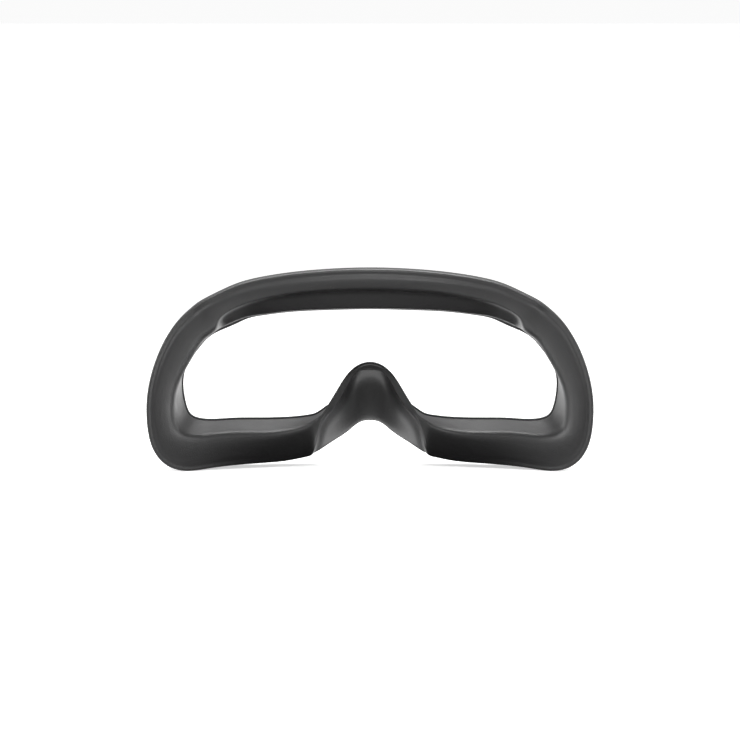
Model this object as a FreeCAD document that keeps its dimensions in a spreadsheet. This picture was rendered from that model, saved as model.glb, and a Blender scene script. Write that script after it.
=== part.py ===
"""Face pad of a pair of FPV goggles: the removable cushion between the goggles and the wearer's face.

A curved plastic mounting frame clips to the goggles. A moulded foam ring is taped to its front and wears a
thin smooth cover. Over the nose the foam thins to a saddle, whose free edge the cover finishes as a thin rim.

Frame of the part: X across the face, +Y from the wearer towards the goggles, +Z up, millimetres. The origin is
under the middle of the pad, on the surface that it stands on.
"""

import FreeCAD, Part

import math
import os
from types import SimpleNamespace

import Sketcher
from FreeCAD import Placement, Rotation, Vector

DIMENSIONS = [  # alias, value, what it is
    ("pad_width", 170.0, "width over the temples"),
    ("pad_height", 76.3, "height from the cheeks to the top of the brow"),
    ("back_radius", 190.0, "plan radius of the surface that the frame holds the foam on"),
    ("face_radius", 140.0, "plan radius of the face side"),
    ("brow_depth", 12.0, "foam and cover depth at the middle of the brow"),
    ("cheek_extra_depth", 5.0, "how much deeper the pad is at the cheeks than at the brow"),
    ("shoulder_drop", 1.8, "how far the outer edge of the face side lies below its inner edge"),
    ("nose_side_drop", 4.0, "how much further that edge falls away beside the nose"),
    ("face_crown", 0.8, "padding of the face side between its edges"),
    ("brow_band", 7.8, "height of the brow's raised band"),
    ("temple_band", 11.5, "width of the raised band at the temples"),
    ("cheek_band", 13.2, "width of the raised band at the cheeks"),
    ("relief_width", 8.0, "height of the brow's sunk inner shelf"),
    ("relief_step", 2.2, "depth of the step down to that shelf"),
    ("relief_edge_depth", 6.0, "depth of foam left under the shelf's edge"),
    ("temple_slope", 2.4, "width of the sloping inner wall at the temples"),
    ("cheek_slope", 4.6, "width of the sloping inner wall at the cheeks"),
    ("slope_edge_depth", 1.6, "depth of the inner wall's upright edge at the frame"),
    ("edge_round", 3.0, "rounding of the outer edge"),
    ("crest_round", 2.0, "rounding of the inner crest"),
    ("nose_arch_height", 40.5, "top of the nose saddle"),
    ("nose_rim", 2.8, "thickness of the nose saddle's rim"),
    ("nose_rim_depth", 10.5, "how far the top of the rim stands in front of the frame"),
    ("nose_notch_height", 16.8, "top of the notch for the nose in the frame"),
    ("nose_bridge", 12.1, "height of the frame's strip over the notch"),
    ("cover_thickness", 0.8, "laminated cover"),
    ("tape_thickness", 0.3, "double-sided foam tape"),
    ("tape_margin", 2.2, "tape to the edge of the foam"),
    ("tape_gap", 2.0, "gap between two strips of tape"),
    ("frame_thickness", 1.6, "plate of the mounting frame"),
    ("frame_setback", 0.7, "outer wall of the pad to the edge of the frame"),
    ("frame_lip", 0.5, "how far the frame stands into the eye opening"),
    ("rib_height", 1.6, "stiffening ribs on the back of the frame"),
    ("rib_width", 1.2, "thickness of those ribs"),
    ("post_radius", 1.75, "locating post"),
    ("post_length", 4.0, "straight length of a locating post, from its boss"),
    ("post_tip", 0.7, "cone on the end of a locating post"),
    ("post_span", 116.0, "distance between the two locating posts"),
    ("post_level", 9.6, "height of the locating posts"),
    ("boss_radius", 3.2, "boss at the foot of a post"),
    ("boss_height", 1.6, "boss above the back of the frame's plate"),
    ("hook_width", 7.0, "snap hook"),
    ("hook_thickness", 1.3, "root thickness of a snap hook"),
    ("hook_reach", 4.6, "snap hook above the back of the frame's plate"),
    ("hook_barb", 0.8, "overhang of the barb"),
    ("hook_land", 0.4, "height of the barb's blunt edge"),
    ("hook_lead", 1.5, "height of the barb's lead-in slope"),
    ("window_clearance", 0.5, "opening in the plate round a barb"),
]
OVERRUN = 4.0  # how far a blank runs past the surface that trims it


def read_sheet(sheet):
    """The driving dimensions as plain numbers, as the sheet holds them."""
    return SimpleNamespace(**{alias: float(sheet.get(alias)) for alias, _, _ in DIMENSIONS})


def make_sheet(doc):
    sheet = doc.addObject("Spreadsheet::Sheet", "dims")
    for row, (alias, value, note) in enumerate(DIMENSIONS, start=1):
        sheet.set(f"A{row}", note)
        sheet.set(f"B{row}", str(value))
        sheet.setAlias(f"B{row}", alias)
    doc.recompute()
    return sheet


# ---------------------------------------------------------------- the pad's sections


def back_depth(d, x):
    """Y of the surface that the foam is taped to."""
    return math.sqrt(d.back_radius**2 - x * x) - d.back_radius


def face_depth(d, x, z):
    """Y of the side that touches the face: it wraps round the temples and is deeper at the cheeks."""
    wrap = d.face_radius - math.sqrt(d.face_radius**2 - x * x)
    return -(d.brow_depth + wrap + d.cheek_extra_depth * (1 - z / d.pad_height))


def stations(d):
    """Corners of the pad's section at places round one half, from the middle of the brow to the middle of the nose.

    Each has, in front view, the foot of the outer wall, the outer edge of the face side, the inner crest and the
    edge of the eye opening, then the shares of the brow's shelf, of the fall beside the nose and of the nose saddle.
    """
    half, high = d.pad_width / 2, d.pad_height
    brow, temple, cheek = d.brow_band, d.temple_band, d.cheek_band
    shelf, side, slope = d.relief_width, d.temple_slope, d.cheek_slope
    ring = [  # outer edge as shares of the half width and the height, across the band, across the slope, shares
        ((0.000, 1.000), (0.00, -1.00, brow), (0.00, -1.00, shelf), 1.0, 0.0),
        ((0.200, 0.993), (-0.12, -0.99, brow), (-0.12, -0.98, shelf), 1.0, 0.0),
        ((0.388, 0.974), (-0.26, -0.97, brow), (-0.25, -0.88, shelf), 1.0, 0.0),
        ((0.553, 0.942), (-0.46, -0.96, brow), (-0.40, -0.73, shelf), 1.0, 0.0),
        ((0.659, 0.900), (-0.64, -0.94, brow), (-0.46, -0.51, shelf), 1.0, 0.0),
        ((0.758, 0.845), (-0.70, -0.66, temple), (-0.39, -0.28, shelf), 0.8, 0.0),
        ((0.847, 0.770), (-0.87, -0.60, temple), (-0.33, -0.33, side), 0.0, 0.0),
        ((0.918, 0.664), (-1.03, -0.43, temple), (0.29, -0.21, side), 0.0, 0.0),
        ((0.967, 0.540), (-1.01, -0.28, temple), (0.33, 0.08, side), 0.0, 0.0),
        ((0.996, 0.404), (-0.93, -0.07, temple), (-0.67, 0.08, side), 0.0, 0.0),
        ((1.000, 0.273), (-0.90, 0.09, temple), (-1.46, 0.58, side), 0.0, 0.0),
        ((0.980, 0.141), (-0.78, 0.38, cheek), (-0.89, 0.78, slope), 0.0, 0.0),
        ((0.920, 0.040), (-0.76, 0.81, cheek), (-0.80, 0.88, slope), 0.0, 0.0),
        ((0.824, 0.000), (-0.62, 1.03, cheek), (-0.72, 0.86, slope), 0.0, 0.0),
        ((0.706, 0.009), (-0.45, 1.01, cheek), (-0.67, 0.82, slope), 0.0, 0.15),
        ((0.553, 0.019), (-0.27, 0.92, cheek), (-0.54, 0.88, slope), 0.0, 0.6),
        ((0.400, 0.026), (-0.09, 0.92, cheek), (-0.39, 0.80, slope), 0.0, 1.0),
        ((0.300, 0.044), (-0.02, 0.97, cheek), (-0.22, 0.50, slope), 0.0, 1.0),
    ]
    found = []
    for (share_x, share_z), (bx, bz, band), (sx, sz, fall), on_shelf, falling in ring:
        outer = Vector(share_x * half, 0, share_z * high)
        crest = outer + Vector(bx, 0, bz) * band
        found.append((outer, outer, crest, crest + Vector(sx, 0, sz) * fall, on_shelf, falling, 0.0))
    arch, notch = d.nose_arch_height, d.nose_notch_height
    rim, bridge = d.nose_rim, d.nose_bridge
    saddle = [  # foot, lower edge of the rim, upper edge of the rim, eye opening, share of the saddle
        ((20.6, notch - 12.0), (21.4, arch - 34.4), (22.0, arch - 22.6), (20.6, notch + bridge - 9.5), 0.10),
        ((16.9, notch - 9.7), (19.0, arch - 25.4), (19.0, arch - 20.6), (17.4, notch + bridge - 7.4), 0.32),
        ((12.7, notch - 7.0), (16.6 - 0.70 * rim, arch - 16.9 - 0.8 * rim), (16.6, arch - 16.9),
         (13.8, notch + bridge - 5.0), 0.54),
        ((8.4, notch - 4.1), (12.9 - 0.95 * rim, arch - 10.7 - 0.65 * rim), (12.9, arch - 10.7),
         (9.6, notch + bridge - 2.6), 0.76),
        ((4.1, notch - 0.8), (7.6 - 0.60 * rim, arch - 3.3 - 0.75 * rim), (7.6, arch - 3.3),
         (4.9, notch + bridge - 0.7), 0.93),
        ((0.0, notch), (0.0, arch - rim), (0.0, arch), (0.0, notch + bridge), 1.0),
    ]
    for foot, low, high_edge, opening, share in saddle:
        corners = [Vector(x, 0, z) for x, z in (foot, low, high_edge, opening)]
        found.append((*corners, 0.0, 0.8 * (1 - share), share))
    return found


def toward(start, end, distance):
    """The point at that distance from start on the way to end, or half way if that is nearer."""
    way = end - start
    return start + way * min(0.5, distance / max(way.Length, 1e-6))


def mixed(start, end, share):
    return start + (end - start) * share


def drawn_in(points, around, inset):
    """The section's control points moved inwards, square to the section, by the inset."""
    moved = []
    last = len(points) - 1
    for k, point in enumerate(points):
        before = (point - points[max(k - 1, 0)]) if k else points[1] - point
        after = (points[min(k + 1, last)] - point) if k < last else before
        before, after = Vector(before).normalize(), Vector(after).normalize()
        inward = (before + after).normalize().cross(around)
        widening = 1 / max(math.cos(before.getAngle(after) / 2), 0.75)
        moved.append(point + inward * inset * widening)
    return moved


def section(d, station, inset):
    """Control points across the pad at one station, from behind its foot round the face side to the eye opening.

    A positive inset draws the same section smaller all round, for what lies under the cover.
    """
    foot, low, crest, opening, on_shelf, falling, on_saddle = station

    def front(point):
        return face_depth(d, point.x, point.z) * (1 - on_saddle) - d.nose_rim_depth * on_saddle

    saddle = on_saddle**0.5
    drop = (d.shoulder_drop + d.nose_side_drop * falling) * (1 - saddle)
    outer_round = d.edge_round + (0.9 - d.edge_round) * saddle
    inner_round = d.crest_round + (0.9 - d.crest_round) * max(saddle, on_shelf)
    edge = d.slope_edge_depth + (d.relief_edge_depth - d.slope_edge_depth) * on_shelf
    step = d.relief_step * on_shelf

    foot_back = Vector(foot.x, back_depth(d, foot.x), foot.z)
    shoulder = Vector(low.x, front(low) + drop, low.z)
    ridge = Vector(crest.x, front(crest), crest.z)
    edge_back = Vector(opening.x, back_depth(d, opening.x), opening.z)
    edge_front = edge_back - Vector(0, edge, 0)
    under = toward(ridge, edge_front, inner_round) + Vector(0, step, 0)
    hollow = mixed(under, edge_front, 0.5) + Vector(0, 1.6 * on_saddle, -1.2 * on_saddle)
    behind = Vector(0, OVERRUN, 0)
    across = (opening - foot).normalize()
    around = Vector(across.z, 0, -across.x)
    points = [
        foot_back + behind,
        foot_back,
        mixed(foot_back, shoulder, 0.45),
        toward(shoulder, foot_back, outer_round),
        shoulder,
        toward(shoulder, ridge, outer_round),
        mixed(shoulder, ridge, 0.5) - Vector(0, d.face_crown * (1 - saddle), 0),
        toward(ridge, shoulder, inner_round),
        ridge,
        under,
        hollow,
        edge_front,
        edge_back,
        edge_back + behind,
    ]
    return drawn_in(points, around, inset) if inset else points


def whole_ring(half):
    """A half ring of points mirrored into a whole one; its first and last points lie on the mirror plane."""
    mirrored = [Vector(-p.x, p.y, p.z) for p in reversed(half[1:-1])]
    return list(half) + mirrored


def poles_through(points):
    """Poles of the closed uniform cubic spline that passes through point k at parameter k."""
    count = len(points)
    poles = list(points)
    for _ in range(30):
        onto = [(poles[k - 1] + poles[k] * 4 + poles[(k + 1) % count]) * (1 / 6) for k in range(count)]
        poles = [pole + (point - now) for pole, point, now in zip(poles, points, onto)]
    return poles[-1:] + poles[:-1]


def ring_curve(points):
    poles = poles_through(points)
    curve = Part.BSplineCurve()
    curve.buildFromPolesMultsKnots(
        poles, [1] * (len(poles) + 1), [float(i) for i in range(len(poles) + 1)], True, 3
    )
    return curve


def ring_solid(d, inset):
    """The closed solid of the pad's outside, or of what lies that far under it, trimmed to the frame's surface."""
    sections = [section(d, station, inset) for station in stations(d)]
    rows = [poles_through(whole_ring([s[k] for s in sections])) for k in range(len(sections[0]))]
    around, across = len(rows[0]), len(rows)
    net = [[rows[k][i] for k in range(across)] for i in range(around)]
    surface = Part.BSplineSurface()
    surface.buildFromPolesMultsKnots(
        net,
        [1] * (around + 1),
        [4] + [1] * (across - 4) + [4],
        [float(i) for i in range(around + 1)],
        [float(i) for i in range(across - 2)],
        True,
        False,
        3,
        3,
    )
    skin = surface.toShape()
    first, last = surface.vIso(0.0).toShape(), surface.vIso(float(across - 3)).toShape()
    cap = Part.makeRuledSurface(Part.Wire([first]), Part.Wire([last]))
    shell = Part.makeShell([skin] + cap.Faces)
    shell.sewShape()
    solid = Part.makeSolid(Part.Shell(shell.Faces))
    if solid.Volume < 0:
        solid.reverse()
    holder = Part.makeCylinder(
        d.back_radius, 3 * d.pad_height, Vector(0, -d.back_radius, -d.pad_height), Vector(0, 0, 1)
    )
    return solid.common(holder)


def footprints(d):
    """Front-view outlines of the foam's back, outer and at the eye opening, as points round the whole ring."""
    places = stations(d)
    return whole_ring([place[0] for place in places]), whole_ring([place[3] for place in places])


def shifted_outline(points, distance):
    """The closed outline through the points, moved to the left of its way round by the distance."""
    curve = ring_curve(points)
    moved = []
    for i, point in enumerate(points):
        way = curve.tangent(float(i))[0]
        moved.append(point + Vector(-way.z, 0, way.x) * distance)
    return ring_curve(moved)


def inward(points):
    """The sign that moves an outline towards its inside."""
    area = sum(p.x * q.z - q.x * p.z for p, q in zip(points, points[1:] + points[:1]))
    return 1 if area > 0 else -1


def ring_blank(d, from_foot, from_opening):
    """A tall block over the ring, its outer wall and its eye opening drawn in by the two distances."""
    foot, opening = footprints(d)
    outer = shifted_outline(foot, inward(foot) * from_foot)
    inner = shifted_outline(opening, -inward(opening) * from_opening)
    return tall_block([Part.Wire([outer.toShape()]), Part.Wire([inner.toShape()])])


def strip_blank(d, first, last):
    """A tall block over one strip of tape, between two places round the ring."""
    foot, opening = footprints(d)
    outer = shifted_outline(foot, inward(foot) * d.tape_margin)
    inner = shifted_outline(opening, -inward(opening) * d.tape_margin)
    ends = []
    for curve in (outer, inner):
        spacing = curve.length() / len(foot)
        gap = 0.5 * d.tape_gap / spacing
        ends.append(curve.toShape(first + gap, last - gap))
    sides = [Part.makeLine(ends[0].Vertexes[k].Point, ends[1].Vertexes[k].Point) for k in (0, -1)]
    return tall_block([Part.Wire(Part.sortEdges(ends + sides)[0])])


def tall_block(wires):
    deep = 40.0
    face = Part.makeFace(wires, "Part::FaceMakerBullseye")
    face.translate(Vector(0, -deep, 0))
    return face.extrude(Vector(0, 2 * deep, 0))


def ring_middle(d, place):
    """The middle of the ring's back at a place round it, and the front-view direction out of the ring there."""
    foot, opening = footprints(d)
    on_foot, on_opening = ring_curve(foot).value(place), ring_curve(opening).value(place)
    return (on_foot + on_opening) * 0.5, (on_foot - on_opening).normalize()


# ---------------------------------------------------------------- document objects


def add_shape(doc, name, shape):
    item = doc.addObject("Part::Feature", name)
    item.Label = name
    item.Shape = shape
    return item


def add_boolean(doc, kind, name, base, tool):
    item = doc.addObject(f"Part::{kind}", name)
    item.Label = name
    item.Base = base
    item.Tool = tool
    return item


def add_common(doc, name, *shapes):
    item = doc.addObject("Part::MultiCommon", name)
    item.Label = name
    item.Shapes = list(shapes)
    return item


def add_fusion(doc, name, shapes):
    item = doc.addObject("Part::MultiFuse", name)
    item.Label = name
    item.Shapes = shapes
    return item


def add_layer(doc, name, inner_radius, outer_radius):
    """The space between two upright cylinders about the plan centre; both radii are sheet expressions."""
    drums = []
    for end, radius in (("inner", inner_radius), ("outer", outer_radius)):
        drum = doc.addObject("Part::Cylinder", f"{name}_{end}")
        drum.setExpression("Radius", radius)
        drum.setExpression("Height", "3 * dims.pad_height")
        drum.setExpression("Placement.Base.y", "-dims.back_radius")
        drum.setExpression("Placement.Base.z", "-dims.pad_height")
        drums.append(drum)
    return add_boolean(doc, "Cut", name, drums[1], drums[0])


def facing_goggles(outward, point):
    """A placement whose x is outwards in front view, y is towards the goggles and whose origin is the point."""
    turn = math.degrees(math.atan2(-outward.z, outward.x))
    return Placement(point, Rotation(Vector(0, 1, 0), turn))


def add_post(doc, d, side, plate_back, sunk):
    """A locating post with its boss and tapered tip, standing on the back of the frame."""
    end = "left" if side < 0 else "right"
    x = side * d.post_span / 2
    floor = plate_back(x)
    upright = Rotation(Vector(1, 0, 0), -90)
    sizes = [
        ("boss", "dims.boss_radius", "dims.boss_radius", "dims.boss_height + 0.5 * dims.frame_thickness",
         floor - sunk),
        ("post", "dims.post_radius", "dims.post_radius", "dims.post_length", floor + d.boss_height),
        ("tip", "dims.post_radius", "0.6 * dims.post_radius", "dims.post_tip",
         floor + d.boss_height + d.post_length),
    ]
    pieces = []
    for name, radius, end_radius, height, y in sizes:
        tapered = radius != end_radius
        piece = doc.addObject("Part::Cone" if tapered else "Part::Cylinder", f"{name}_{end}")
        if tapered:
            piece.setExpression("Radius1", radius)
            piece.setExpression("Radius2", end_radius)
        else:
            piece.setExpression("Radius", radius)
        piece.setExpression("Height", height)
        piece.Placement = Placement(Vector(x, y, d.post_level), upright)
        pieces.append(piece)
    return pieces


def add_hook(doc, name, place):
    """A snap hook with its barb outwards, drawn from the side and padded to its width."""
    body = doc.addObject("PartDesign::Body", name)
    plane = next(f for f in body.Origin.OriginFeatures if f.Role == "XY_Plane")
    sketch = body.newObject("Sketcher::SketchObject", f"{name}_side")
    sketch.AttachmentSupport = [(plane, "")]
    sketch.MapMode = "FlatFace"
    thick, wide = "dims.hook_thickness", "(dims.hook_thickness + dims.hook_barb)"
    top = "(dims.hook_reach + 0.5 * dims.frame_thickness)"
    shoulder = f"({top} - dims.hook_lead)"
    land = f"({shoulder} - dims.hook_land)"
    corners = [
        (None, None),
        (None, top),
        (f"0.6 * {thick}", top),
        (wide, shoulder),
        (wide, land),
        (thick, f"{land} - 0.5 * dims.hook_barb"),
        (thick, None),
    ]
    rough = [(0, 0), (0, 5), (0.8, 5), (2, 4), (2, 3.5), (1.3, 3), (1.3, 0)]
    for here, there in zip(rough, rough[1:] + rough[:1]):
        sketch.addGeometry(Part.LineSegment(Vector(*here, 0), Vector(*there, 0)))
    count = len(rough)
    for k in range(count):
        sketch.addConstraint(Sketcher.Constraint("Coincident", k, 2, (k + 1) % count, 1))
    for k, (across, up) in enumerate(corners):
        for axis, size, other in (("DistanceX", across, -2), ("DistanceY", up, -1)):
            if size is None:
                sketch.addConstraint(Sketcher.Constraint("PointOnObject", k, 1, other))
            else:
                value = rough[k][0 if axis == "DistanceX" else 1]
                index = sketch.addConstraint(Sketcher.Constraint(axis, -1, 1, k, 1, float(value)))
                sketch.setExpression(f"Constraints[{index}]", size)
    pad = body.newObject("PartDesign::Pad", f"{name}_pad")
    pad.Profile = sketch
    pad.SideType = "Symmetric"
    pad.setExpression("Length", "dims.hook_width")
    body.Placement = place
    return body


def add_window(doc, name, place):
    """The opening in the plate under a hook's barb, which the mould's core comes out of."""
    box = doc.addObject("Part::Box", name)
    box.setExpression("Length", "dims.hook_barb + dims.window_clearance")
    box.setExpression("Width", "4 * dims.frame_thickness")
    box.setExpression("Height", "dims.hook_width + dims.window_clearance")
    box.Placement = place
    return box


HOOK_PLACES = {"brow": 2.0, "upper_temple": 6.0, "temple": 9.4, "cheek": 15.6}
TAPE_STRIPS = {
    "tape_brow": (41.4, 50.6),
    "tape_temple_right": (4.6, 11.6),
    "tape_cheek_right": (11.6, 18.0),
    "tape_nose": (18.0, 28.0),
    "tape_cheek_left": (28.0, 34.4),
    "tape_temple_left": (34.4, 41.4),
}


def add_frame(doc, d):
    """The mounting frame: a curved plate with two ribs round its back, locating posts and snap hooks."""
    seat = "dims.back_radius + dims.tape_thickness"
    plate = f"{seat} + dims.frame_thickness"
    top = f"{plate} + dims.rib_height"
    inside_plate = f"{seat} + 0.5 * dims.frame_thickness"

    def plate_back(x):
        radius = d.back_radius + d.tape_thickness + d.frame_thickness
        return math.sqrt(radius**2 - x * x) - d.back_radius

    footprint = add_shape(doc, "frame_footprint", ring_blank(d, d.frame_setback, -d.frame_lip))
    from_foot, from_opening = d.frame_setback + d.rib_width, d.rib_width - d.frame_lip
    between_ribs = add_shape(doc, "between_ribs", ring_blank(d, from_foot, from_opening))
    blank = add_common(doc, "frame_blank", add_layer(doc, "frame_layer", seat, top), footprint)
    clear_layer = add_layer(doc, "clear_layer", plate, f"{top} + dims.rib_height")
    channel = add_common(doc, "channel", clear_layer, between_ribs)
    ribbed = add_boolean(doc, "Cut", "ribbed_plate", blank, channel)

    sunk = 0.5 * d.frame_thickness
    standing, windows = [], []
    for side in (-1, 1):
        standing += add_post(doc, d, side, plate_back, sunk)
        end = "left" if side < 0 else "right"
        for where, place in HOOK_PLACES.items():
            middle, outward = ring_middle(d, place)
            middle.x, outward.x = side * middle.x, side * outward.x
            root = Vector(middle.x, plate_back(middle.x) - sunk, middle.z)
            inner_face = root - outward * (0.5 * d.hook_thickness)
            standing.append(add_hook(doc, f"hook_{where}_{end}", facing_goggles(outward, inner_face)))
            across = Vector(-outward.z, 0, outward.x)
            corner = inner_face + outward * d.hook_thickness - Vector(0, 3 * d.frame_thickness, 0)
            corner -= across * (0.5 * (d.hook_width + d.window_clearance))
            windows.append(add_window(doc, f"window_{where}_{end}", facing_goggles(outward, corner)))
    core = doc.addObject("Part::Cylinder", "plate_core")
    core.setExpression("Radius", inside_plate)
    core.setExpression("Height", "3 * dims.pad_height")
    core.setExpression("Placement.Base.y", "-dims.back_radius")
    core.setExpression("Placement.Base.z", "-dims.pad_height")
    standing = add_boolean(doc, "Cut", "standing", add_fusion(doc, "standing_blank", standing), core)
    unpierced = add_boolean(doc, "Fuse", "unpierced_frame", ribbed, standing)
    return add_boolean(doc, "Cut", "mounting_frame", unpierced, add_fusion(doc, "windows", windows))


def add_tapes(doc, d):
    layer = add_layer(doc, "tape_layer", "dims.back_radius", "dims.back_radius + dims.tape_thickness")
    tapes = []
    for name, (first, last) in TAPE_STRIPS.items():
        blank = add_shape(doc, f"{name}_footprint", strip_blank(d, first, last))
        tapes.append(add_common(doc, name, layer, blank))
    return tapes


def check(doc, nodes):
    for item in doc.Objects:
        if "Invalid" in item.State or "Error" in item.State:
            raise RuntimeError(f"{item.Label} failed: {item.State}")
    for node in nodes:
        if node.Shape.isNull() or not node.Shape.isValid() or not node.Shape.Solids:
            raise RuntimeError(f"{node.Label} has no valid solid")


def main():
    doc = FreeCAD.newDocument("goggles_face_pad")
    d = read_sheet(make_sheet(doc))

    pad_outside = add_shape(doc, "pad_outside", ring_solid(d, 0.0))
    foam_core = add_shape(doc, "foam_core", ring_solid(d, d.cover_thickness))
    face_cover = add_boolean(doc, "Cut", "face_cover", pad_outside, foam_core)
    nodes = [face_cover, foam_core, add_frame(doc, d)] + add_tapes(doc, d)
    doc.recompute()
    check(doc, nodes)

    whole = Part.makeCompound([node.Shape for node in nodes]).optimalBoundingBox()
    shift = Vector(0, -(whole.YMin + whole.YMax) / 2, -whole.ZMin)
    for node in nodes:
        node.Placement = Placement(shift, Rotation())
    check(doc, nodes)
    print(f"shift {shift}, overall {whole.XLength:.2f} x {whole.YLength:.2f} x {whole.ZLength:.2f} mm")

    os.makedirs("parts", exist_ok=True)
    for node in nodes:
        box = node.Shape.optimalBoundingBox()
        print(f"{node.Label}: {len(node.Shape.Solids)} solid, {node.Shape.Volume:.1f} mm3, {box}")
        node.Shape.exportStep(f"parts/{node.Label}.step")


main()
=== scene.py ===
"""Face pad of a pair of FPV goggles: its moulded skin, its foam, the finishes of its frame and tape, and the studio.

The pad's shape is worked out in millimetres from the middle of the frame's front, as its drawing is: x across the
face, y from the wearer towards the goggles and z up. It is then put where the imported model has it, in metres.
"""

import math

import bpy
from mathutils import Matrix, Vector


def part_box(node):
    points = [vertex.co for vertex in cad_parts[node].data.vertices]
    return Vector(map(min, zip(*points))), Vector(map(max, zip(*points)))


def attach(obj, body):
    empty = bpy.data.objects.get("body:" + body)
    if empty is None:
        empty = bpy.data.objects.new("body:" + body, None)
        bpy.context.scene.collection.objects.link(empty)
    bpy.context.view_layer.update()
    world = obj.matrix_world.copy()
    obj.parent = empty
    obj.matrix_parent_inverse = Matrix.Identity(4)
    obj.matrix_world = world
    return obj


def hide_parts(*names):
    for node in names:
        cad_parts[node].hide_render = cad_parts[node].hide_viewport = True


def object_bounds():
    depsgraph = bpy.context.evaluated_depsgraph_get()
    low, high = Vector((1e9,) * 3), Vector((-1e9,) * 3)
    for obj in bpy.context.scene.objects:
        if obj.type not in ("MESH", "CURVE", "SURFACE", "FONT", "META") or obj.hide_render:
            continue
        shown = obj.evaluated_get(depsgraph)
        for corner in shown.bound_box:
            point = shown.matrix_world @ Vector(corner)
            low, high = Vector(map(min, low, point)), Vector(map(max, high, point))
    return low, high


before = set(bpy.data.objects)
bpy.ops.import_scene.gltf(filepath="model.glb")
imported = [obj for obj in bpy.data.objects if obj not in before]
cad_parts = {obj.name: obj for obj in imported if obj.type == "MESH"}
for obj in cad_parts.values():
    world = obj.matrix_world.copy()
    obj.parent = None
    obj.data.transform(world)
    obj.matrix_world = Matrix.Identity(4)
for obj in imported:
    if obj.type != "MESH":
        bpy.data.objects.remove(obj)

MM = 0.001
packed_box = [Vector(corner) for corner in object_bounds()]

# ---------------------------------------------------------------- sizes, in millimetres

BACK_RADIUS = 190.0  # plan curve of the surface that the frame holds the foam on
FACE_RADIUS = 140.0  # plan curve of the face side
BROW_DEPTH = 12.0
CHEEK_EXTRA_DEPTH = 5.0
SHOULDER_DROP = 1.8  # outer edge of the face side below its inner edge
NOSE_SIDE_DROP = 4.0  # the same edge falls away further beside the nose
FACE_CROWN = 0.55
NOSE_KEEL = 1.0  # the hollow over the nose stands forward along its middle
BROW_BAND = 7.8
TEMPLE_BAND = 11.5
CHEEK_BAND = 13.2
RELIEF_WIDTH = 8.0  # sunk shelf along the inside of the brow
RELIEF_STEP = 2.2
RELIEF_EDGE_DEPTH = 8.4
TEMPLE_SLOPE = 2.4
CHEEK_SLOPE = 4.6
SLOPE_EDGE_DEPTH = 1.6
EDGE_ROUND = 2.6
CREST_ROUND = 4.6  # soft inner crest at the temples and cheeks
NOSE_ARCH_HEIGHT = 40.5
NOSE_RIM = 2.8
NOSE_RIM_DEPTH = 10.5
RIM_TILT = 0.9  # lower edge of the nose's rim behind its upper edge
SADDLE_BACK_OUT = 2.7  # the back of the saddle bulges from a straight line between its edges, backwards
SADDLE_BACK_UP = 0.4
NOSE_NOTCH_HEIGHT = 16.8
NOSE_BRIDGE = 12.1
SKIN_THICKNESS = 0.8
TAPE_THICKNESS = 0.3
LIP_GROOVE_IN = 2.2  # shallow groove pressed along the outer edge, from the edge
LIP_GROOVE_DEPTH = 0.5
HEM_ROUND = 0.5  # rounding of the skin's edges at the frame
HEM_DEPTH = 1.4  # how far the skin is turned in under those edges
FOAM_GAP = 0.12
FOAM_SETBACK = 1.6
FOAM_SEAT_GAP = 0.02
RIM_PULL = 0.5  # how far the foam stays back from the thin rim over the nose, as a share of the rim's length

PAD_WIDTH = 170.0
PAD_HEIGHT = 76.3
SEAT_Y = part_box("tape_nose")[1][1] / MM - TAPE_THICKNESS  # where the drawing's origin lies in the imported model
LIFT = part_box("face_cover")[1][2] / MM - PAD_HEIGHT


# ---------------------------------------------------------------- light

FRONT_LIGHT = 0.34  # brightness of the white surroundings on the camera's side
BACK_LIGHT = 0.45
TOP_LIGHT = 0.3
TABLE_GLOW = 0.65  # light from the table past its black cards
GAP_GLOW = 4.8  # and through the small gap between them, below the nose
TABLE_SIZE = 60
TABLE_MIDDLE = 20.0  # the table's middle lies that far behind the object, in metres
CARDS_END_ASIDE = (0.040, 0.100)  # where the cards begin to let light past and where they let all of it past
CARDS_END_BEHIND = (0.03, 0.08)
GAP_SIDE = (0.012, 0.020)
GAP_FRONT = (0.001, 0.008)
GAP_BACK = (0.016, 0.024)
AIM_DROP = 0.0004  # the camera aims a little below the object's middle
SOFTBOXES = [  # name, place and size in metres, watts
    ("left_softbox", (-0.62, -0.08, 0.20), (0.4, 0.5), 4.2),
    ("right_softbox", (0.62, -0.08, 0.20), (0.4, 0.5), 4.2),
    ("left_back_softbox", (-0.75, 0.50, 0.10), (0.6, 0.3), 1.8),
    ("right_back_softbox", (0.75, 0.50, 0.10), (0.6, 0.3), 1.8),
    ("overhead_softbox", (0.0, 0.30, 0.80), (0.30, 0.6), 5.4),
    ("front_strip", (0.0, -0.60, 0.50), (0.25, 0.12), 2.2),
]


def clear_selection():
    for thing in bpy.context.selected_objects:
        thing.select_set(False)


# ---------------------------------------------------------------- the pad's sections


def back_depth(x):
    return math.sqrt(BACK_RADIUS**2 - x * x) - BACK_RADIUS


def face_depth(x, z):
    wrap = FACE_RADIUS - math.sqrt(FACE_RADIUS**2 - x * x)
    return -(BROW_DEPTH + wrap + CHEEK_EXTRA_DEPTH * (1 - z / PAD_HEIGHT))


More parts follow.
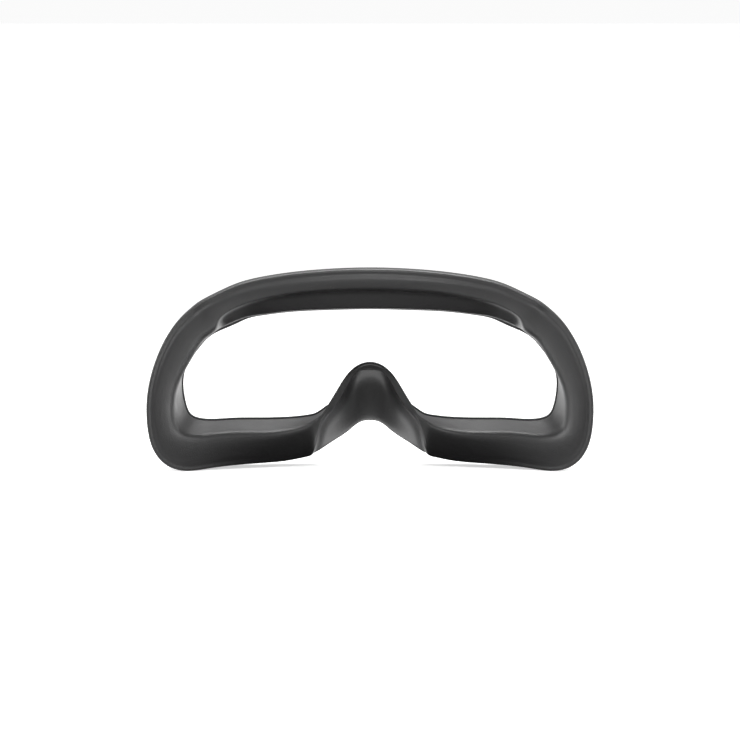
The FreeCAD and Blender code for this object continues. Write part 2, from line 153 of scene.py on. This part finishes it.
def stations():
    """Corners of the pad's section at places round one half, from the middle of the brow to the middle of the nose.

    Each is the foot of the outer wall, the outer edge of the face side, the inner crest and the edge of the eye
    opening in front view, then the shares of the brow's shelf, of the fall beside the nose and of the nose saddle.
    """
    half, high = PAD_WIDTH / 2, PAD_HEIGHT
    brow, temple, cheek = BROW_BAND, TEMPLE_BAND, CHEEK_BAND
    shelf, side, slope = RELIEF_WIDTH, TEMPLE_SLOPE, CHEEK_SLOPE
    ring = [  # outer edge as shares of the half width and the height, across the band, across the slope, shares
        ((0.000, 1.000), (0.00, -1.00, brow), (0.00, -1.00, shelf), 1.0, 0.0),
        ((0.200, 0.993), (-0.12, -0.99, brow), (-0.12, -0.98, shelf), 1.0, 0.0),
        ((0.388, 0.974), (-0.26, -0.97, brow), (-0.25, -0.88, shelf), 1.0, 0.0),
        ((0.553, 0.942), (-0.46, -0.96, brow), (-0.40, -0.73, shelf), 1.0, 0.0),
        ((0.659, 0.900), (-0.64, -0.87, brow), (-0.38, -0.56, shelf), 1.0, 0.0),
        ((0.754, 0.849), (-0.62, -0.57, temple), (-0.75, -1.50, side), 1.0, 0.0),
        ((0.802, 0.813), (-0.81, -0.73, temple), (-0.25, -0.29, side), 0.0, 0.0),
        ((0.859, 0.755), (-0.88, -0.63, temple), (-0.21, -0.21, side), 0.0, 0.0),
        ((0.918, 0.664), (-1.03, -0.43, temple), (0.29, -0.21, side), 0.0, 0.0),
        ((0.967, 0.540), (-1.01, -0.28, temple), (0.33, 0.08, side), 0.0, 0.0),
        ((0.996, 0.404), (-0.93, -0.07, temple), (-0.67, 0.08, side), 0.0, 0.0),
        ((1.000, 0.273), (-0.90, 0.09, temple), (-1.46, 0.58, side), 0.0, 0.0),
        ((0.980, 0.141), (-0.78, 0.38, cheek), (-0.89, 0.78, slope), 0.0, 0.0),
        ((0.920, 0.040), (-0.76, 0.81, cheek), (-0.80, 0.88, slope), 0.0, 0.0),
        ((0.824, 0.000), (-0.62, 1.03, cheek), (-0.72, 0.86, slope), 0.0, 0.0),
        ((0.706, 0.009), (-0.45, 1.01, cheek), (-0.67, 0.82, slope), 0.0, 0.15),
        ((0.553, 0.019), (-0.27, 0.92, cheek), (-0.54, 0.88, slope), 0.0, 0.6),
        ((0.400, 0.026), (-0.09, 0.92, cheek), (-0.39, 0.80, slope), 0.0, 1.0),
        ((0.300, 0.044), (-0.02, 0.97, cheek), (-0.22, 0.50, slope), 0.0, 1.0),
    ]
    found = []
    for (share_x, share_z), (bx, bz, band), (sx, sz, fall), on_shelf, falling in ring:
        outer = Vector((share_x * half, 0, share_z * high))
        crest = outer + Vector((bx, 0, bz)) * band
        found.append((outer, outer, crest, crest + Vector((sx, 0, sz)) * fall, on_shelf, falling, 0.0))
    arch, notch = NOSE_ARCH_HEIGHT, NOSE_NOTCH_HEIGHT
    rim, bridge = NOSE_RIM, NOSE_BRIDGE
    saddle = [  # foot, lower edge of the rim, upper edge of the rim, eye opening, share of the saddle
        ((20.6, notch - 12.0), (21.4, arch - 34.4), (22.0, arch - 22.6), (20.6, notch + bridge - 9.5), 0.10),
        ((16.9, notch - 9.7), (19.0, arch - 25.4), (19.0, arch - 20.6), (17.4, notch + bridge - 7.4), 0.32),
        ((12.7, notch - 7.0), (16.6 - 0.70 * rim, arch - 16.9 - 0.8 * rim), (16.6, arch - 16.9),
         (13.8, notch + bridge - 5.0), 0.54),
        ((8.4, notch - 4.1), (12.9 - 0.95 * rim, arch - 10.7 - 0.65 * rim), (12.9, arch - 10.7),
         (9.6, notch + bridge - 2.6), 0.76),
        ((4.1, notch - 0.8), (7.6 - 0.60 * rim, arch - 3.3 - 0.75 * rim), (7.6, arch - 3.3),
         (4.9, notch + bridge - 0.7), 0.93),
        ((0.0, notch), (0.0, arch - rim), (0.0, arch), (0.0, notch + bridge), 1.0),
    ]
    for foot, low, high_edge, opening, share in saddle:
        corners = [Vector((x, 0, z)) for x, z in (foot, low, high_edge, opening)]
        found.append((*corners, 0.0, 0.8 * (1 - share), share))
    return found


def toward(start, end, distance):
    """The point at that distance from start on the way to end, or half way if that is nearer."""
    way = end - start
    return start + way * min(0.5, distance / max(way.length, 1e-6))


def mixed(start, end, share):
    return start + (end - start) * share


def mix_share(low, high, share):
    return low + (high - low) * share


def deeper(distance):
    return Vector((0, distance, 0))


def seated(point):
    """The point moved straight back onto the surface that the frame holds the foam on."""
    return Vector((point.x, back_depth(point.x), point.z))


def skin_section(station):
    """Cage points of the outside of the skin at one station, from its hem at the foot to its hem at the opening."""
    foot, low, crest, opening, on_shelf, falling, on_saddle = station
    saddle = on_saddle**0.5

    def front(point):
        return face_depth(point.x, point.z) * (1 - on_saddle) - NOSE_RIM_DEPTH * on_saddle

    foot_back = seated(foot)
    drop = (SHOULDER_DROP * (1 - 0.6 * on_shelf) + NOSE_SIDE_DROP * falling) * (1 - saddle)
    shoulder = low + deeper(front(low) + drop + RIM_TILT * on_saddle)
    ridge = crest + deeper(front(crest))
    edge_back = seated(opening)
    edge_front = edge_back - deeper(SLOPE_EDGE_DEPTH + (RELIEF_EDGE_DEPTH - SLOPE_EDGE_DEPTH) * on_shelf)
    across = (opening - foot).normalized()

    outer_round = EDGE_ROUND + (0.35 - EDGE_ROUND) * saddle + 0.8 * falling * (1 - saddle)
    ridge_round = CREST_ROUND + (0.8 - CREST_ROUND) * max(saddle, on_shelf)
    fall_round = CREST_ROUND + (0.9 - CREST_ROUND) * max(saddle, on_shelf)
    groove = LIP_GROOVE_DEPTH * (1 - saddle) * (1 - falling)
    keel = NOSE_KEEL if on_saddle == 1.0 else -0.7 * NOSE_KEEL * on_saddle
    under = toward(ridge, edge_front, fall_round) + deeper(RELIEF_STEP * on_shelf)
    bulge = Vector((0, SADDLE_BACK_OUT, SADDLE_BACK_UP)) * on_saddle

    def wall(depth_share, in_share):
        point = mixed(shoulder, foot_back, in_share)
        point.y = shoulder.y + (foot_back.y - shoulder.y) * depth_share - keel
        return point

    def face(share):
        """A point of the face side, from its outer edge at 0 to its crest at 1, on the crown between them."""
        return mixed(shoulder, ridge, share) + deeper(-4 * share * (1 - share) * FACE_CROWN * (1 - saddle))

    width = (ridge - shoulder).length
    groove_at = min(LIP_GROOVE_IN / width, 0.3)
    rising = min((LIP_GROOVE_IN + 1.2) / width, 0.5)
    rounding = 1 - min(ridge_round / width, 0.4)

    return [
        seated(foot + across * HEM_DEPTH),
        seated(foot + across * HEM_ROUND),
        foot_back + deeper(-0.1),
        foot_back + deeper(-1.2),
        wall(0.62, 0.62 - 0.30 * saddle),
        wall(0.34, 0.34 - 0.22 * saddle),
        toward(shoulder, foot_back, outer_round) if on_saddle < 0.5 else wall(0.06, 0.02),
        shoulder,
        face(groove_at / 2),
        face(groove_at) + deeper(groove),
        face(rising),
        face(mix_share(rising, rounding, 0.35)),
        face(mix_share(rising, rounding, 0.7)),
        face(rounding),
        ridge,
        under,
        mixed(under, edge_front, 0.25) + bulge * 0.8,
        mixed(under, edge_front, 0.6) + bulge,
        toward(edge_front, under, 1.0),
        edge_front,
        edge_back + deeper(-0.5 * SLOPE_EDGE_DEPTH),
        edge_back + deeper(-0.1),
        seated(opening - across * HEM_ROUND),
        seated(opening - across * HEM_DEPTH),
    ]


def drawn_in(points, around, inset):
    """The section's points moved inwards, square to the section, by the inset."""
    last = len(points) - 1
    moved = []
    for k, point in enumerate(points):
        way = points[min(k + 1, last)] - points[max(k - 1, 0)]
        moved.append(point + way.normalized().cross(around) * inset)
    return moved


def foam_section(station):
    """Points round the foam at one station: just under the skin, and across the frame's seat behind."""
    foot, _, _, opening, _, _, on_saddle = station
    across = (opening - foot).normalized()
    around = Vector((across.z, 0, -across.x))
    front = drawn_in(skin_section(station)[3:-3], around, SKIN_THICKNESS + FOAM_GAP)
    below_rim, rim, behind_rim = front[2], slice(3, 13), front[13]
    core = (below_rim + behind_rim) / 2
    front[rim] = [mixed(point, core, RIM_PULL * on_saddle**0.5) for point in front[rim]]
    seat = []
    for share in (0.97, 0.9, 0.5, 0.1, 0.03):
        point = mixed(foot + across * FOAM_SETBACK, opening - across * FOAM_SETBACK, share)
        seat.append(seated(point) + deeper(-FOAM_SEAT_GAP))
    return front + seat


def whole_ring(half):
    """A half ring of points mirrored into a whole one; its first and last points lie on the mirror plane."""
    return list(half) + [Vector((-p.x, p.y, p.z)) for p in reversed(half[1:-1])]


def poles_through(points):
    """Cage points whose closed smooth curve passes through the points."""
    count = len(points)
    poles = [p.copy() for p in points]
    for _ in range(30):
        onto = [(poles[k - 1] + poles[k] * 4 + poles[(k + 1) % count]) / 6 for k in range(count)]
        poles = [pole + point - now for pole, point, now in zip(poles, points, onto)]
    return poles


def refined(points):
    """The points with one more on the smooth curve between each two."""
    poles = poles_through(points)
    count = len(poles)
    finer = []
    for k, point in enumerate(points):
        near = poles[k] + poles[(k + 1) % count]
        far = poles[k - 1] + poles[(k + 2) % count]
        finer += [point, (near * 23 + far) / 48]
    return finer


def placed(point):
    """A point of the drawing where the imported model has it, in metres."""
    return Vector((point.x, point.y + SEAT_Y, point.z + LIFT)) * MM


def ring_mesh(name, sections, closed):
    """A mesh over the sections: a band round the ring, or with closed a tube whose sections close on themselves."""
    rows = [poles_through(refined(whole_ring([s[k] for s in sections]))) for k in range(len(sections[0]))]
    around, across = len(rows[0]), len(rows)
    spots = [placed(rows[k][i]) for i in range(around) for k in range(across)]
    steps = across if closed else across - 1
    faces = []
    for i in range(around):
        here, there = i * across, (i + 1) % around * across
        for k in range(steps):
            following = (k + 1) % across
            faces.append((here + k, there + k, there + following, here + following))
    mesh = bpy.data.meshes.new(name)
    mesh.from_pydata(spots, [], faces)
    piece = bpy.data.objects.new(name, mesh)
    bpy.context.collection.objects.link(piece)
    return piece


def face_outwards(piece):
    clear_selection()
    piece.select_set(True)
    bpy.context.view_layer.objects.active = piece
    bpy.ops.object.mode_set(mode="EDIT")
    bpy.ops.mesh.select_all(action="SELECT")
    bpy.ops.mesh.normals_make_consistent(inside=False)
    bpy.ops.object.mode_set(mode="OBJECT")
    bpy.ops.object.shade_smooth()


def subdivided(piece, levels):
    rounding = piece.modifiers.new("rounding", "SUBSURF")
    rounding.levels = rounding.render_levels = levels
    bpy.context.view_layer.objects.active = piece
    bpy.ops.object.modifier_apply(modifier=rounding.name)


def make_skin():
    skin = ring_mesh("skin", [skin_section(station) for station in stations()], closed=False)
    face_outwards(skin)
    subdivided(skin, 2)
    shell = skin.modifiers.new("thickness", "SOLIDIFY")
    shell.thickness = SKIN_THICKNESS * MM
    shell.offset = -1
    bpy.ops.object.modifier_apply(modifier=shell.name)
    return skin


def make_foam():
    foam = ring_mesh("foam", [foam_section(station) for station in stations()], closed=True)
    face_outwards(foam)
    subdivided(foam, 1)
    return foam


# ---------------------------------------------------------------- shared surface effects

PATCHES_PER_METRE = 45.0  # hand-sized shine, unless a finish says otherwise


def new_effect(name, inputs, outputs):
    """An empty node group with those number sockets, the inputs each a name and a default value, and its input and
    output nodes.
    """
    group = bpy.data.node_groups.new(name, "ShaderNodeTree")
    for title, value in inputs:
        socket = group.interface.new_socket(name=title, in_out="INPUT", socket_type="NodeSocketFloat")
        socket.default_value = value
    for title in outputs:
        group.interface.new_socket(name=title, in_out="OUTPUT", socket_type="NodeSocketFloat")
    return group, group.nodes.new("NodeGroupInput"), group.nodes.new("NodeGroupOutput")


def noise(nodes, scale, detail, roughness=0.5):
    texture = nodes.new("ShaderNodeTexNoise")
    texture.inputs["Scale"].default_value = scale
    texture.inputs["Detail"].default_value = detail
    texture.inputs["Roughness"].default_value = roughness
    return texture


def ranged(nodes, low, high, to_low=0.0, to_high=1.0):
    """A node that carries low to high over to to_low to to_high, smoothly."""
    change = nodes.new("ShaderNodeMapRange")
    change.interpolation_type = "SMOOTHSTEP"
    for title, value in zip(("From Min", "From Max", "To Min", "To Max"), (low, high, to_low, to_high)):
        change.inputs[title].default_value = value
    return change


def math_node(nodes, kind, value=None):
    step = nodes.new("ShaderNodeMath")
    step.operation = kind
    if value is not None:
        step.inputs[1].default_value = value
    return step


def make_grain():
    """Pebbled grain of a mould's surface: raised cells with fine grit over them, as a height from 0 to 1."""
    group, given, result = new_effect("pebbled_grain", [("Cells per metre", 2200.0)], ["Height"])
    nodes, links = group.nodes, group.links
    where = nodes.new("ShaderNodeTexCoord")
    cells = nodes.new("ShaderNodeTexVoronoi")
    cells.feature = "SMOOTH_F1"
    cells.inputs["Smoothness"].default_value = 0.7
    grit = noise(nodes, 5200, 2)
    pebbles = ranged(nodes, 0.15, 0.75, 1.0, 0.0)
    fine = math_node(nodes, "MULTIPLY", 0.3)
    height = math_node(nodes, "ADD")
    links.new(where.outputs["Object"], cells.inputs["Vector"])
    links.new(where.outputs["Object"], grit.inputs["Vector"])
    links.new(given.outputs["Cells per metre"], cells.inputs["Scale"])
    links.new(cells.outputs["Distance"], pebbles.inputs["Value"])
    links.new(grit.outputs["Fac"], fine.inputs[0])
    links.new(pebbles.outputs["Result"], height.inputs[0])
    links.new(fine.outputs[0], height.inputs[1])
    links.new(height.outputs[0], result.inputs["Height"])
    return group


def make_handling():
    """Signs of handling: broad patches polished by touch, and sparse specks of lint and dust, as two masks."""
    group, given, result = new_effect("handling", [("Patches per metre", PATCHES_PER_METRE)], ["Polish", "Dust"])
    nodes, links = group.nodes, group.links
    where = nodes.new("ShaderNodeTexCoord")
    patches = noise(nodes, PATCHES_PER_METRE, 4, 0.55)
    polish = ranged(nodes, 0.38, 0.66)
    specks = noise(nodes, 1500, 1)
    lint = ranged(nodes, 0.69, 0.78)
    clouds = noise(nodes, 130, 3)
    where_dusty = ranged(nodes, 0.45, 0.62)
    dust = math_node(nodes, "MULTIPLY")
    for texture in (patches, specks, clouds):
        links.new(where.outputs["Object"], texture.inputs["Vector"])
    links.new(given.outputs["Patches per metre"], patches.inputs["Scale"])
    links.new(patches.outputs["Fac"], polish.inputs["Value"])
    links.new(specks.outputs["Fac"], lint.inputs["Value"])
    links.new(clouds.outputs["Fac"], where_dusty.inputs["Value"])
    links.new(lint.outputs["Result"], dust.inputs[0])
    links.new(where_dusty.outputs["Result"], dust.inputs[1])
    links.new(polish.outputs["Result"], result.inputs["Polish"])
    links.new(dust.outputs[0], result.inputs["Dust"])
    return group


# ---------------------------------------------------------------- finishes


def new_material(name):
    material = bpy.data.materials.new(name)
    material.use_nodes = True
    return material, material.node_tree.nodes, material.node_tree.links


def added_effect(nodes, group, **values):
    effect = nodes.new("ShaderNodeGroup")
    effect.node_tree = group
    for title, value in values.items():
        effect.inputs[title.replace("_", " ")].default_value = value
    return effect


def blended(nodes, links, mask, first, second):
    """A colour between two, given or from a node, by the mask."""
    mix = nodes.new("ShaderNodeMix")
    mix.data_type = "RGBA"
    links.new(mask, mix.inputs["Factor"])
    for socket, colour in ((mix.inputs[6], first), (mix.inputs[7], second)):
        if isinstance(colour, tuple):
            socket.default_value = (*colour, 1)
        else:
            links.new(colour, socket)
    return mix.outputs[2]


def bumped(nodes, links, height, depth, strength=1.0):
    bump = nodes.new("ShaderNodeBump")
    bump.inputs["Strength"].default_value = strength
    bump.inputs["Distance"].default_value = depth
    links.new(height, bump.inputs["Height"])
    return bump.outputs["Normal"]


def skin_finish(grain, handling):
    """Smooth moulded skin: near black, satin, with a fine pebble, faint mottling and a little dust."""
    material, nodes, links = new_material("moulded_skin")
    shader = nodes["Principled BSDF"]
    touched = added_effect(nodes, handling, Patches_per_metre=38.0)
    tint = blended(nodes, links, touched.outputs["Polish"], (0.0105, 0.0103, 0.0107), (0.0140, 0.0137, 0.0142))
    dusty = blended(nodes, links, touched.outputs["Dust"], tint, (0.026, 0.025, 0.024))
    sheen = ranged(nodes, 0.0, 1.0, 0.47, 0.40)
    pebbles = added_effect(nodes, grain, Cells_per_metre=2400.0)
    links.new(dusty, shader.inputs["Base Color"])
    links.new(touched.outputs["Polish"], sheen.inputs["Value"])
    links.new(sheen.outputs["Result"], shader.inputs["Roughness"])
    links.new(bumped(nodes, links, pebbles.outputs["Height"], 0.000018), shader.inputs["Normal"])
    return material


def foam_finish(handling):
    """Open foam: matt dark grey, full of pores."""
    material, nodes, links = new_material("open_foam")
    shader = nodes["Principled BSDF"]
    where = nodes.new("ShaderNodeTexCoord")
    pores = nodes.new("ShaderNodeTexVoronoi")
    pores.inputs["Scale"].default_value = 1400
    wall = ranged(nodes, 0.1, 0.5)
    touched = added_effect(nodes, handling)
    tint = blended(nodes, links, wall.outputs["Result"], (0.010, 0.010, 0.011), (0.036, 0.036, 0.038))
    dusty = blended(nodes, links, touched.outputs["Dust"], tint, (0.06, 0.06, 0.058))
    links.new(where.outputs["Object"], pores.inputs["Vector"])
    links.new(pores.outputs["Distance"], wall.inputs["Value"])
    links.new(dusty, shader.inputs["Base Color"])
    links.new(bumped(nodes, links, wall.outputs["Result"], 0.00025), shader.inputs["Normal"])
    shader.inputs["Roughness"].default_value = 0.9
    return material


def frame_finish(grain, handling):
    """Injection-moulded black plastic with a spark-eroded texture, rubbed a little smoother where it is handled."""
    material, nodes, links = new_material("moulded_plastic")
    shader = nodes["Principled BSDF"]
    touched = added_effect(nodes, handling, Patches_per_metre=60.0)
    tint = blended(nodes, links, touched.outputs["Polish"], (0.016, 0.016, 0.017), (0.022, 0.022, 0.023))
    dusty = blended(nodes, links, touched.outputs["Dust"], tint, (0.055, 0.054, 0.052))
    sheen = ranged(nodes, 0.0, 1.0, 0.55, 0.42)
    texture = added_effect(nodes, grain, Cells_per_metre=3600.0)
    links.new(dusty, shader.inputs["Base Color"])
    links.new(touched.outputs["Polish"], sheen.inputs["Value"])
    links.new(sheen.outputs["Result"], shader.inputs["Roughness"])
    links.new(bumped(nodes, links, texture.outputs["Height"], 0.00002), shader.inputs["Normal"])
    return material


def tape_finish(handling):
    """Foam tape: grey, matt, with the fine cross-laid fibres of its carrier showing at the cut edges."""
    material, nodes, links = new_material("foam_tape")
    shader = nodes["Principled BSDF"]
    where = nodes.new("ShaderNodeTexCoord")
    fibres = []
    for along in ("X", "Z"):
        lines = nodes.new("ShaderNodeTexWave")
        lines.bands_direction = along
        lines.inputs["Scale"].default_value = 380
        lines.inputs["Distortion"].default_value = 6
        lines.inputs["Detail"].default_value = 3
        links.new(where.outputs["Object"], lines.inputs["Vector"])
        fibres.append(lines)
    crossed = math_node(nodes, "MAXIMUM")
    touched = added_effect(nodes, handling)
    links.new(fibres[0].outputs["Fac"], crossed.inputs[0])
    links.new(fibres[1].outputs["Fac"], crossed.inputs[1])
    tint = blended(nodes, links, crossed.outputs[0], (0.045, 0.045, 0.047), (0.085, 0.085, 0.088))
    dusty = blended(nodes, links, touched.outputs["Dust"], tint, (0.15, 0.15, 0.145))
    links.new(dusty, shader.inputs["Base Color"])
    links.new(bumped(nodes, links, crossed.outputs[0], 0.00004), shader.inputs["Normal"])
    shader.inputs["Roughness"].default_value = 0.75
    return material


# ---------------------------------------------------------------- studio


def add_softbox(name, place, size, watts, target):
    clear_selection()
    bpy.ops.object.light_add(type="AREA", location=place)
    lamp = bpy.context.object
    lamp.name = name
    lamp.data.shape = "RECTANGLE"
    lamp.data.size, lamp.data.size_y = size
    lamp.data.energy = watts
    lamp.rotation_euler = (Vector(target) - Vector(place)).to_track_quat("-Z", "Y").to_euler()


def seen_apart(nodes, links, lighting, seen, output):
    """Lets one shader light the object while the camera sees another in its place."""
    path = nodes.new("ShaderNodeLightPath")
    choice = nodes.new("ShaderNodeMixShader")
    links.new(path.outputs["Is Camera Ray"], choice.inputs[0])
    links.new(lighting.outputs[0], choice.inputs[1])
    links.new(seen.outputs[0], choice.inputs[2])
    links.new(choice.outputs[0], output.inputs[0])


def make_floor():
    """A white table lit from below. Black cards under the object keep that light off it, but for a gap at the nose."""
    clear_selection()
    bpy.ops.mesh.primitive_plane_add(size=TABLE_SIZE, location=(0, TABLE_MIDDLE, 0))
    floor = bpy.context.object
    floor.name = "floor"
    material, nodes, links = new_material("lit_table")
    shader = nodes["Principled BSDF"]
    where = nodes.new("ShaderNodeTexCoord")
    cloudy = noise(nodes, 6, 3)
    shade = blended(nodes, links, cloudy.outputs["Fac"], (0.86, 0.86, 0.86), (0.92, 0.92, 0.92))
    links.new(where.outputs["Object"], cloudy.inputs["Vector"])
    links.new(shade, shader.inputs["Base Color"])
    shader.inputs["Roughness"].default_value = 0.7
    shader.inputs["Specular IOR Level"].default_value = 0.2
    shader.inputs["Emission Color"].default_value = (1, 1, 1, 1)
    shader.inputs["Emission Strength"].default_value = 0.55
    split = nodes.new("ShaderNodeSeparateXYZ")
    aside = math_node(nodes, "ABSOLUTE")
    card_side = ranged(nodes, *CARDS_END_ASIDE)
    card_back = ranged(nodes, *(y - TABLE_MIDDLE for y in CARDS_END_BEHIND))
    past_cards = math_node(nodes, "MAXIMUM")
    gap_side = ranged(nodes, *GAP_SIDE, GAP_GLOW, 0.0)
    gap_front = ranged(nodes, *(y - TABLE_MIDDLE for y in GAP_FRONT))
    gap_back = ranged(nodes, *(y - TABLE_MIDDLE for y in GAP_BACK), 1.0, 0.0)
    gap_depth = math_node(nodes, "MULTIPLY")
    gap = math_node(nodes, "MULTIPLY")
    lit = math_node(nodes, "MAXIMUM")
    cards = nodes.new("ShaderNodeBsdfPrincipled")
    cards.inputs["Roughness"].default_value = 0.8
    cards.inputs["Emission Color"].default_value = (1, 1, 1, 1)
    glow = math_node(nodes, "MULTIPLY", TABLE_GLOW)
    tone = blended(nodes, links, past_cards.outputs[0], (0.05, 0.05, 0.05), (0.85, 0.85, 0.85))
    links.new(where.outputs["Object"], split.inputs[0])
    links.new(split.outputs["X"], aside.inputs[0])
    links.new(aside.outputs[0], card_side.inputs["Value"])
    links.new(split.outputs["Y"], card_back.inputs["Value"])
    links.new(card_side.outputs["Result"], past_cards.inputs[0])
    links.new(card_back.outputs["Result"], past_cards.inputs[1])
    links.new(aside.outputs[0], gap_side.inputs["Value"])
    links.new(split.outputs["Y"], gap_front.inputs["Value"])
    links.new(split.outputs["Y"], gap_back.inputs["Value"])
    links.new(gap_front.outputs["Result"], gap_depth.inputs[0])
    links.new(gap_back.outputs["Result"], gap_depth.inputs[1])
    links.new(gap_side.outputs["Result"], gap.inputs[0])
    links.new(gap_depth.outputs[0], gap.inputs[1])
    links.new(past_cards.outputs[0], glow.inputs[0])
    links.new(glow.outputs[0], lit.inputs[0])
    links.new(gap.outputs[0], lit.inputs[1])
    links.new(lit.outputs[0], cards.inputs["Emission Strength"])
    links.new(tone, cards.inputs["Base Color"])
    seen_apart(nodes, links, cards, shader, nodes["Material Output"])
    floor.data.materials.append(material)


def make_surroundings():
    """A white studio: bright behind the object and overhead, dim on the camera's side."""
    world = bpy.data.worlds.new("studio")
    bpy.context.scene.world = world
    world.use_nodes = True
    nodes, links = world.node_tree.nodes, world.node_tree.links
    room = nodes["Background"]
    room.inputs["Color"].default_value = (1, 1, 1, 1)
    where = nodes.new("ShaderNodeTexCoord")
    split = nodes.new("ShaderNodeSeparateXYZ")
    behind = ranged(nodes, -0.5, 0.9, FRONT_LIGHT, BACK_LIGHT)
    overhead = ranged(nodes, 0.3, 1.0, 0.0, TOP_LIGHT)
    total = math_node(nodes, "ADD")
    links.new(where.outputs["Generated"], split.inputs[0])
    links.new(split.outputs["Y"], behind.inputs["Value"])
    links.new(split.outputs["Z"], overhead.inputs["Value"])
    links.new(behind.outputs["Result"], total.inputs[0])
    links.new(overhead.outputs["Result"], total.inputs[1])
    links.new(total.outputs[0], room.inputs["Strength"])

    white = nodes.new("ShaderNodeBackground")
    white.inputs["Strength"].default_value = 1.2
    seen_apart(nodes, links, room, white, nodes["World Output"])


def add_camera(target):
    """A long lens from a little above the object's middle."""
    away, up, view_width = 2.0, math.radians(4), 0.2842
    place = target + Vector((0, -math.cos(up), math.sin(up))) * away
    bpy.ops.object.camera_add(location=place)
    camera = bpy.context.object
    camera.rotation_euler = (target - place).to_track_quat("-Z", "Y").to_euler()
    camera.data.lens = camera.data.sensor_width * away / view_width
    camera.data.clip_start = 0.05
    bpy.context.scene.camera = camera
    bpy.context.scene.view_settings.view_transform = "Standard"


skin = make_skin()
foam = make_foam()
grain = make_grain()
handling = make_handling()
skin.data.materials.append(skin_finish(grain, handling))
foam.data.materials.append(foam_finish(handling))
for piece, node, slot in ((skin, "face_cover", "skin"), (foam, "foam_core", "foam")):
    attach(piece, "root")
    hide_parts(node)
plastic, tape = frame_finish(grain, handling), tape_finish(handling)
for name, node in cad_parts.items():
    if name == "mounting_frame":
        node.data.materials[0] = plastic
    elif name.startswith("tape_"):
        node.data.materials[0] = tape

middle = (packed_box[0] + packed_box[1]) / 2
make_floor()
make_surroundings()
for name, place, size, watts in SOFTBOXES:
    add_softbox(name, place, size, watts, middle)
add_camera(middle - Vector((0, 0, AIM_DROP)))
